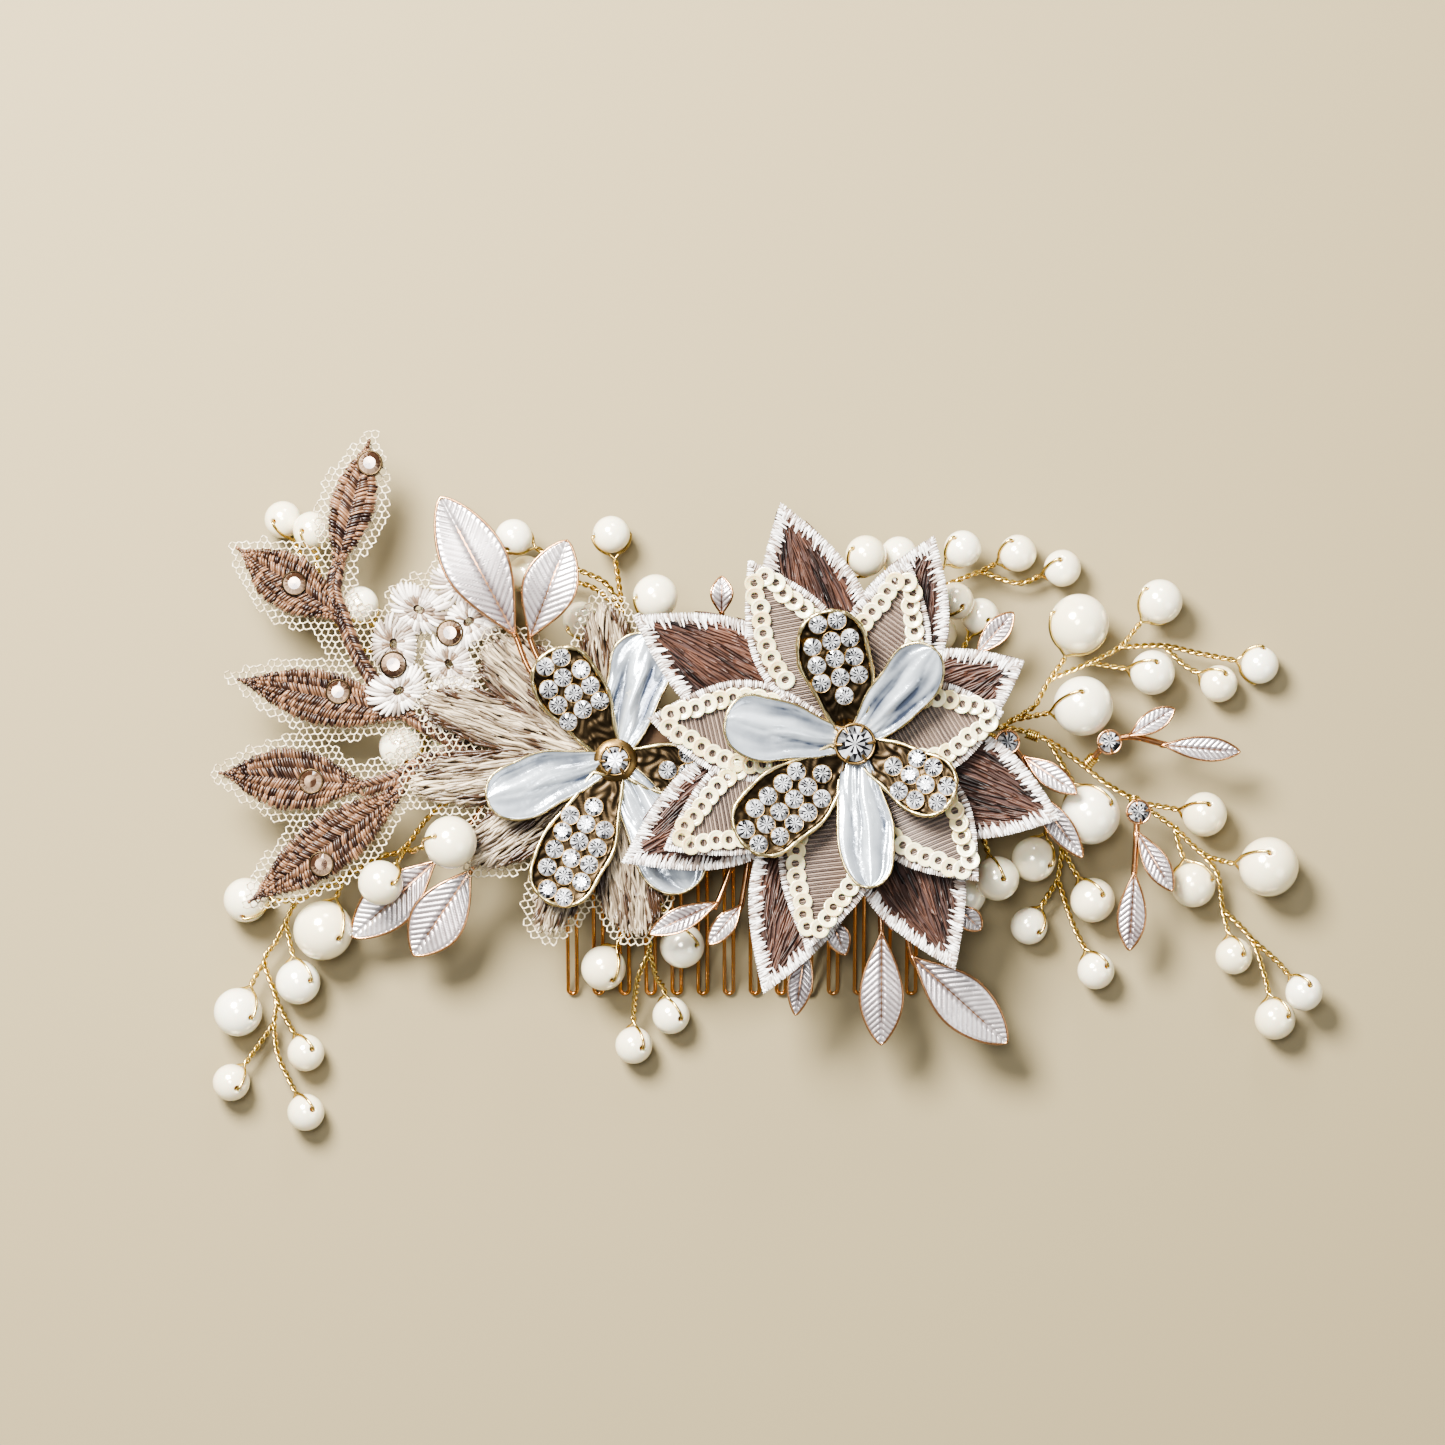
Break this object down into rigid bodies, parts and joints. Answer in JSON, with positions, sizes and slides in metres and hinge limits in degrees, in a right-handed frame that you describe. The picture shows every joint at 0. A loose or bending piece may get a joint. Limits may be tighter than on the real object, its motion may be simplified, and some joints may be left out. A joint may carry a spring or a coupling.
{
  "type": "decorative hair comb",
  "caption": "Wire hair comb carrying jewelled metal flowers, embroidered and net flowers, enamelled leaves and sprays of pearls on twisted wire",
  "frame": {"origin": "middle of the comb's rail, between its two wires", "axes": "+X along the rail, -Y down the teeth, +Z to the front of the ornament"},
  "size_m": [0.1497, 0.095, 0.0216],
  "materials": {
    "comb_wire": "polished copper gold wire",
    "gold_wire": "bright pale gold wire",
    "antique_gold": "darkened cast gold",
    "rose_gold": "polished rose gold",
    "petal_enamel": "pearly silver blue enamel",
    "leaf_enamel": "pearly lilac enamel",
    "clear_stone": "faceted clear stone",
    "champagne_stone": "faceted champagne stone with foil back",
    "net": "hexagonal tulle",
    "brown_thread": "satin stitch with a pink sheen",
    "ivory_thread": "satin stitch",
    "beige_thread": "loose silk thread",
    "organza": "ribbed sheer organza",
    "sequin": "satin cream",
    "pearl": "ivory pearl lustre"
  },
  "bodies": {
    "ornament": {"comb_teeth": "comb_wire", "comb_rails": "comb_wire", "comb_binding": "comb_wire", "left_flower_post": "gold_wire", "right_flower_post": "gold_wire", "tulle_panel": "net", "sprig_embroidery": "brown_thread", "sprig_stones": "champagne_stone", "lace_flower": "ivory_thread", "lace_stones": "champagne_stone", "beige_net": "net", "beige_embroidery": "beige_thread", "brown_petals": "brown_thread", "organza_petals": "organza", "sequins": "sequin", "left_flower_frame": "antique_gold", "left_flower_enamel": "petal_enamel", "left_flower_stones": "clear_stone", "left_centre_cup": "antique_gold", "left_centre_stone": "clear_stone", "right_flower_frame": "antique_gold", "right_flower_enamel": "petal_enamel", "right_flower_stones": "clear_stone", "right_centre_cup": "antique_gold", "right_centre_stone": "clear_stone", "upper_left_leaves": "rose_gold", "lower_left_leaves": "rose_gold", "lower_right_leaves": "rose_gold", "lower_small_leaves": "rose_gold", "upper_small_leaves": "rose_gold", "leaf_enamel": "leaf_enamel", "twig_1": "rose_gold", "twig_2": "rose_gold", "twig_3": "rose_gold", "twig_enamel": "leaf_enamel", "twig_stones": "clear_stone", "stem_bindings": "gold_wire", "right_stems": "gold_wire", "left_stems": "gold_wire", "top_stems": "gold_wire", "bottom_stems": "gold_wire", "right_pearls": "pearl", "left_pearls": "pearl", "top_pearls": "pearl", "bottom_pearls": "pearl"},
    "right_pearl_upper": {"right_pearl_upper": "pearl"},
    "right_pearl_near": {"right_pearl_near": "pearl"},
    "right_pearl_middle": {"right_pearl_middle": "pearl"},
    "right_pearl_far": {"right_pearl_far": "pearl"},
    "right_pearl_outer": {"right_pearl_outer": "pearl"},
    "left_pearl_front": {"left_pearl_front": "pearl"},
    "left_pearl_large": {"left_pearl_large": "pearl"},
    "left_pearl_outer": {"left_pearl_outer": "pearl"},
    "top_pearl": {"top_pearl": "pearl"},
    "bottom_pearl": {"bottom_pearl": "pearl"}
  },
  "joints": [
    {"name": "right_pearl_upper_spin", "type": "hinge", "parent": "ornament", "child": "right_pearl_upper", "pos_m": [0.045, 0.0155, -0.001], "axis": [0.858, -0.3835, -0.3418], "continuous": true},
    {"name": "right_pearl_near_spin", "type": "hinge", "parent": "ornament", "child": "right_pearl_near", "pos_m": [0.0455, 0.0045, -0.0004], "axis": [0.0692, -0.496, -0.8656], "continuous": true},
    {"name": "right_pearl_middle_spin", "type": "hinge", "parent": "ornament", "child": "right_pearl_middle", "pos_m": [0.0465, -0.01, -0.001], "axis": [-0.6712, -0.3692, -0.6428], "continuous": true},
    {"name": "right_pearl_far_spin", "type": "hinge", "parent": "ornament", "child": "right_pearl_far", "pos_m": [0.0705, -0.017, -0.003], "axis": [0.0386, -0.5072, -0.861], "continuous": true},
    {"name": "right_pearl_outer_spin", "type": "hinge", "parent": "ornament", "child": "right_pearl_outer", "pos_m": [0.056, 0.0185, -0.0035], "axis": [0.6408, -0.5826, -0.5], "continuous": true},
    {"name": "left_pearl_front_spin", "type": "hinge", "parent": "ornament", "child": "left_pearl_front", "pos_m": [-0.0385, -0.0135, 0.0081], "axis": [0.5829, -0.2322, -0.7787], "continuous": true},
    {"name": "left_pearl_large_spin", "type": "hinge", "parent": "ornament", "child": "left_pearl_large", "pos_m": [-0.056, -0.0255, -0.0024], "axis": [-0.5872, 0.2627, -0.7656], "continuous": true},
    {"name": "left_pearl_outer_spin", "type": "hinge", "parent": "ornament", "child": "left_pearl_outer", "pos_m": [-0.0675, -0.0365, -0.0038], "axis": [-0.6151, 0.2039, -0.7616], "continuous": true},
    {"name": "top_pearl_spin", "type": "hinge", "parent": "ornament", "child": "top_pearl", "pos_m": [-0.0175, 0.0275, -0.004], "axis": [0.9335, 0.1122, -0.3406], "continuous": true},
    {"name": "bottom_pearl_spin", "type": "hinge", "parent": "ornament", "child": "bottom_pearl", "pos_m": [-0.0185, -0.0305, -0.0017], "axis": [-0.4233, 0.5438, -0.7246], "continuous": true}
  ]
}
